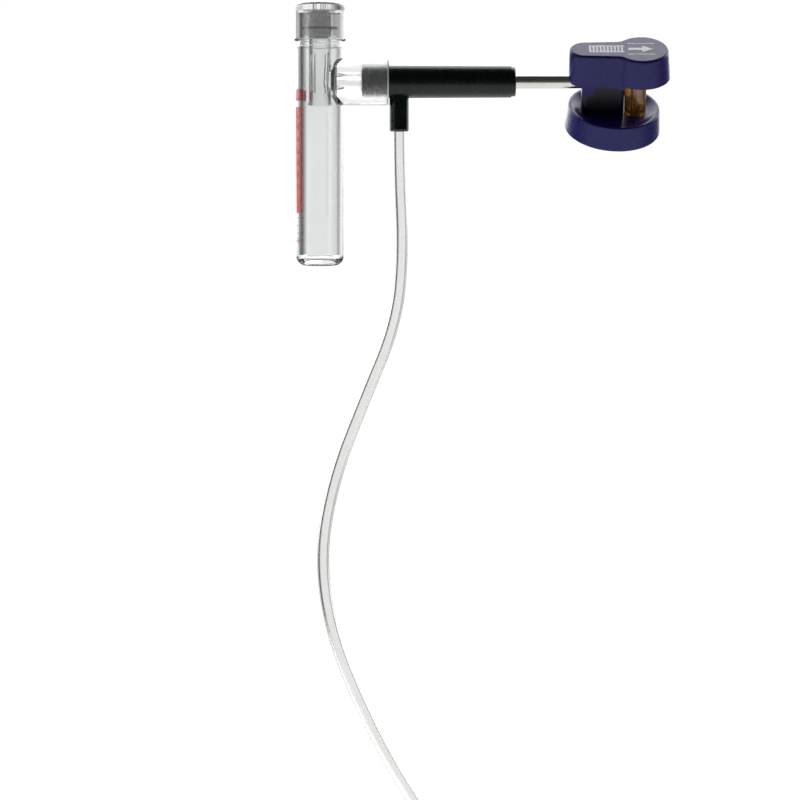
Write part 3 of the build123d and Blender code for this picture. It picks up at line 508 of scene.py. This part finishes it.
# ---- Printed marks ---------------------------------------------------------------------
def slab(outline, thickness, place):
    """Vertices and faces of a thin plate: a flat outline given a thickness and put in place."""
    count = len(outline)
    vertices = [place(u, v, 0.0) for u, v in outline]
    vertices += [place(u, v, thickness) for u, v in outline]
    faces = [tuple(range(count))[::-1], tuple(range(count, 2 * count))]
    for index in range(count):
        after = (index + 1) % count
        faces.append((index, after, after + count, index + count))
    return vertices, faces


def bar(u0, u1, v0, v1, steps=1):
    """Outline of a rectangle, with its long sides cut into steps so that it can bend."""
    low = [(u0 + (u1 - u0) * i / steps, v0) for i in range(steps + 1)]
    high = [(u1 + (u0 - u1) * i / steps, v1) for i in range(steps + 1)]
    return low + high


def arrow(tail, neck, tip, shaft_half, head_half):
    """Outline of an arrow that points along u."""
    return [
        (tail, -shaft_half),
        (neck, -shaft_half),
        (neck, -head_half),
        (tip, 0.0),
        (neck, head_half),
        (neck, shaft_half),
        (tail, shaft_half),
    ]


def join_slabs(name, outlines, thickness, place, material):
    """Several thin plates as one object."""
    vertices = []
    faces = []
    for outline in outlines:
        more, sides = slab(outline, thickness, place)
        start = len(vertices)
        vertices += more
        faces += [tuple(i + start for i in side) for side in sides]
    return new_object(name, vertices, faces, material, smooth=False)


def on_handle(x, v, w):
    """A place in the handle's own frame, in metres, as a place in the row frame at rest."""
    cosine = math.cos(HANDLE_ROLL)
    sine = math.sin(HANDLE_ROLL)
    return Vector((x, v * cosine - w * sine, AXIS_Z + v * sine + w * cosine))


def handle_print():
    """Generic white marks on the handle's top face: a barred panel and an arrow."""
    def place(u, v, w):
        return on_handle(HANDLE_FRONT + u * MM, v * MM, HANDLE_TOP_W + 0.00002 + w)

    outlines = [bar(10.0, 28.0, 2.6, 3.6), bar(10.0, 28.0, -3.6, -2.6)]
    outlines += [bar(10.0 + 1.8 * i, 11.0 + 1.8 * i, -2.6, 2.6) for i in range(10)]
    outlines.append(arrow(30.0, 37.0, 42.5, 1.2, 3.4))
    outlines += [bar(29.5, 43.5, 5.2, 5.9), bar(29.5, 43.5, -5.9, -5.2)]
    marks = join_slabs("handle_print", outlines, 0.00004, place, WHITE_INK)
    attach(marks, "handle")


def on_vessel(u, z, out):
    """A place on the vessel's wall: u round it from the -X side, z up, out from the wall."""
    climb = max(0.0, z - HOLD_LENGTH) / (SHOULDER_Z - HOLD_LENGTH)
    radius = HOLD_R + climb * (SHOULDER_R - HOLD_R) + out
    return Vector((-radius * math.cos(u / HOLD_R), -radius * math.sin(u / HOLD_R), z))


def number_outlines(text, size, u, v):
    """A number as a flat mesh: its vertices and faces, centred at a place."""
    curve = bpy.data.curves.new("number", "FONT")
    curve.body = text
    curve.size = size
    curve.align_x = "CENTER"
    curve.align_y = "CENTER"
    curve.resolution_u = 3
    holder = bpy.data.objects.new("number", curve)
    bpy.context.scene.collection.objects.link(holder)
    bpy.context.view_layer.update()
    mesh = bpy.data.meshes.new_from_object(holder)
    vertices = [(p.co.x + u, p.co.y + v) for p in mesh.vertices]
    faces = [tuple(f.vertices) for f in mesh.polygons]
    bpy.data.objects.remove(holder)
    bpy.data.curves.remove(curve)
    bpy.data.meshes.remove(mesh)
    return vertices, faces


SCALE_BOTTOM = 8.0       # the scale's lowest tick above the start of the straight wall, mm
SCALE_STEP = 3.9         # between ticks, mm
SCALE_TICKS = 16
BAND_FROM = 1.8          # solid band beside the ticks: its sides and ends, mm
BAND_TO = 7.6
BAND_BOTTOM = 22.0
BAND_TOP = 76.0
BAND_ROWS = 9            # the wall widens upwards, so the band is laid in rows
FILL_HALF = 8.0          # wide fill mark, mm
FILL_BOTTOM = 79.5
FILL_TOP = 85.0


def vessel_scale():
    """Red scale on the side away from the arm: ticks, numbers, a band and a fill mark."""
    def place(u, v, w):
        return on_vessel(u * MM, v * MM, 0.00002 + w)

    outlines = []
    for index in range(SCALE_TICKS):
        height = SCALE_BOTTOM + SCALE_STEP * index
        reach = 7.0 if index % 5 == 0 else 4.0
        outlines.append(bar(-5.0, -5.0 + reach, height - 0.25, height + 0.25, 6))
    for row in range(BAND_ROWS):
        low = BAND_BOTTOM + (BAND_TOP - BAND_BOTTOM) * row / BAND_ROWS
        high = low + (BAND_TOP - BAND_BOTTOM) / BAND_ROWS
        outlines.append(bar(BAND_FROM, BAND_TO, low, high, 6))
    outlines.append(bar(-FILL_HALF, FILL_HALF, FILL_BOTTOM, FILL_TOP, 16))
    ticks = join_slabs("vessel_scale", outlines, 0.00004, place, RED_INK)
    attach(ticks, "vessel")
    vertices = []
    faces = []
    for index in range(0, SCALE_TICKS, 5):
        height = SCALE_BOTTOM + SCALE_STEP * index
        flat, sides = number_outlines(str(index), 4.2, 5.0, height)
        start = len(vertices)
        vertices += [place(u, v, 0.00003) for u, v in flat]
        faces += [tuple(i + start for i in side) for side in sides]
    numbers = new_object("vessel_numbers", vertices, faces, RED_INK, smooth=False)
    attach(numbers, "vessel")


# ---- Stage and light -------------------------------------------------------------------
def make_floor():
    """Pale floor that fades into the white surroundings."""
    steps = 96
    reach = 4.0
    rings = [0.0, 0.6, 1.2, 2.0, 3.0, reach]
    vertices = [Vector((0, 0, FLOOR_Z))]
    for radius in rings[1:]:
        for step in range(steps):
            angle = 2 * math.pi * step / steps
            vertices.append(Vector((radius * math.cos(angle), radius * math.sin(angle), FLOOR_Z)))
    faces = [(0, 1 + i, 1 + (i + 1) % steps) for i in range(steps)]
    for ring in range(len(rings) - 2):
        for i in range(steps):
            a = 1 + ring * steps + i
            b = 1 + ring * steps + (i + 1) % steps
            faces.append((a, a + steps, b + steps, b))
    s = Shader("pale_floor", (0.86, 0.86, 0.86), 0.85)
    s.colours(s.noise(1.5, 2.0), (0.85, 0.85, 0.85), (0.87, 0.87, 0.87))
    length = s.add("ShaderNodeVectorMath", operation="LENGTH")
    s.link(s.place, length.inputs[0])
    fade = s.add("ShaderNodeMapRange", interpolation_type="SMOOTHSTEP")
    fade.inputs["From Min"].default_value = 0.75
    fade.inputs["From Max"].default_value = 1.7
    fade.inputs["To Min"].default_value = 1.0
    fade.inputs["To Max"].default_value = 0.0
    s.link(length.outputs["Value"], fade.inputs["Value"])
    s.link(fade.outputs["Result"], s.principled.inputs["Alpha"])
    floor = new_object("floor", vertices, faces, s.material)


def area_light(name, place, target, size, power, colour=(1.0, 1.0, 1.0)):
    """Soft rectangular light that points at a target."""
    data = bpy.data.lights.new(name, "AREA")
    data.shape = "RECTANGLE"
    data.size = size[0]
    data.size_y = size[1]
    data.energy = power
    data.color = colour
    light = bpy.data.objects.new(name, data)
    light.location = place
    light.rotation_euler = (Vector(target) - Vector(place)).to_track_quat("-Z", "Y").to_euler()
    bpy.context.scene.collection.objects.link(light)


WORLD_DARK = [            # dark panels seen through clear parts: direction, width (cosines), level
    ((-0.80, 0.60, 0.0), 0.72, 0.97, 0.10),
    ((0.86, 0.51, 0.0), 0.80, 0.98, 0.45),
]
EYE_LEVEL = 1.02          # plain white behind everything
THROUGH_LEVEL = 0.92      # bright backdrop seen through clear parts
OVERHEAD_LEVEL = 3.6      # bright panel above and behind
FRONT_LEVEL = 0.05        # dim room in front
LOWER_LEVEL = 0.13        # table light from below


def world_math(tree, operation, first, second):
    """Arithmetic on two world values, each an output or a number."""
    node = tree.nodes.new("ShaderNodeMath")
    node.operation = operation
    for socket, value in zip(node.inputs, (first, second)):
        if isinstance(value, float):
            socket.default_value = value
        else:
            tree.links.new(value, socket)
    return node.outputs["Value"]


def world_ramp(tree, value, start, end, first, last):
    """Smooth step from one level to another."""
    node = tree.nodes.new("ShaderNodeMapRange")
    node.interpolation_type = "SMOOTHSTEP"
    node.inputs["From Min"].default_value = start
    node.inputs["From Max"].default_value = end
    node.inputs["To Min"].default_value = first
    node.inputs["To Max"].default_value = last
    tree.links.new(value, node.inputs["Value"])
    return node.outputs["Result"]


def world_mix(tree, factor, first, second):
    """Blend of two levels."""
    node = tree.nodes.new("ShaderNodeMix")
    tree.links.new(factor, node.inputs["Factor"])
    for key, value in (("A", first), ("B", second)):
        if isinstance(value, float):
            node.inputs[key].default_value = value
        else:
            tree.links.new(value, node.inputs[key])
    return node.outputs["Result"]


def make_world():
    """White for the eye, a bright backdrop through clear parts and a dim studio for the rest."""
    world = bpy.data.worlds.new("studio")
    bpy.context.scene.world = world
    world.use_nodes = True
    tree = world.node_tree
    direction = tree.nodes.new("ShaderNodeTexCoord").outputs["Generated"]
    through = None
    for towards, edge, core, dark in WORLD_DARK:
        dot = tree.nodes.new("ShaderNodeVectorMath")
        dot.operation = "DOT_PRODUCT"
        dot.inputs[1].default_value = Vector(towards).normalized()
        tree.links.new(direction, dot.inputs[0])
        panel = world_ramp(tree, dot.outputs["Value"], edge, core, 1.0, dark)
        through = world_math(tree, "MULTIPLY", through or THROUGH_LEVEL, panel)
    split = tree.nodes.new("ShaderNodeSeparateXYZ")
    tree.links.new(direction, split.inputs["Vector"])
    behind = world_ramp(tree, split.outputs["Y"], 0.05, 0.35, 0.0, 1.0)
    upper = world_ramp(tree, split.outputs["Z"], -0.02, 0.12, 0.0, 1.0)
    high = world_mix(tree, behind, FRONT_LEVEL, OVERHEAD_LEVEL)
    studio = world_mix(tree, upper, LOWER_LEVEL, high)
    rays = tree.nodes.new("ShaderNodeLightPath").outputs
    level = world_mix(tree, rays["Is Transmission Ray"], studio, through)
    level = world_mix(tree, rays["Is Camera Ray"], level, EYE_LEVEL)
    background = tree.nodes["Background"]
    background.inputs["Color"].default_value = (1.0, 1.0, 1.0, 1.0)
    tree.links.new(level, background.inputs["Strength"])


def make_lights():
    """A weak soft fill from the left and a strip behind."""
    area_light("fill", (-2.2, -0.9, 0.6), (0.06, 0, 0.0), (0.8, 1.4), 4.0)
    area_light("back", (0.6, 2.2, 1.2), (0.06, 0, 0.0), (1.6, 0.8), 8.0)


def set_colour_management():
    """Plain display transform, so that white surroundings stay white."""
    settings = bpy.context.scene.view_settings
    settings.view_transform = "Standard"
    settings.look = "None"
    settings.exposure = 0.0
    settings.gamma = 1.0


# ---- The scene -------------------------------------------------------------------------
make_camera()
make_hose()
dress_cad_nodes()
handle_print()
vessel_scale()
make_floor()
make_world()
make_lights()
set_colour_management()
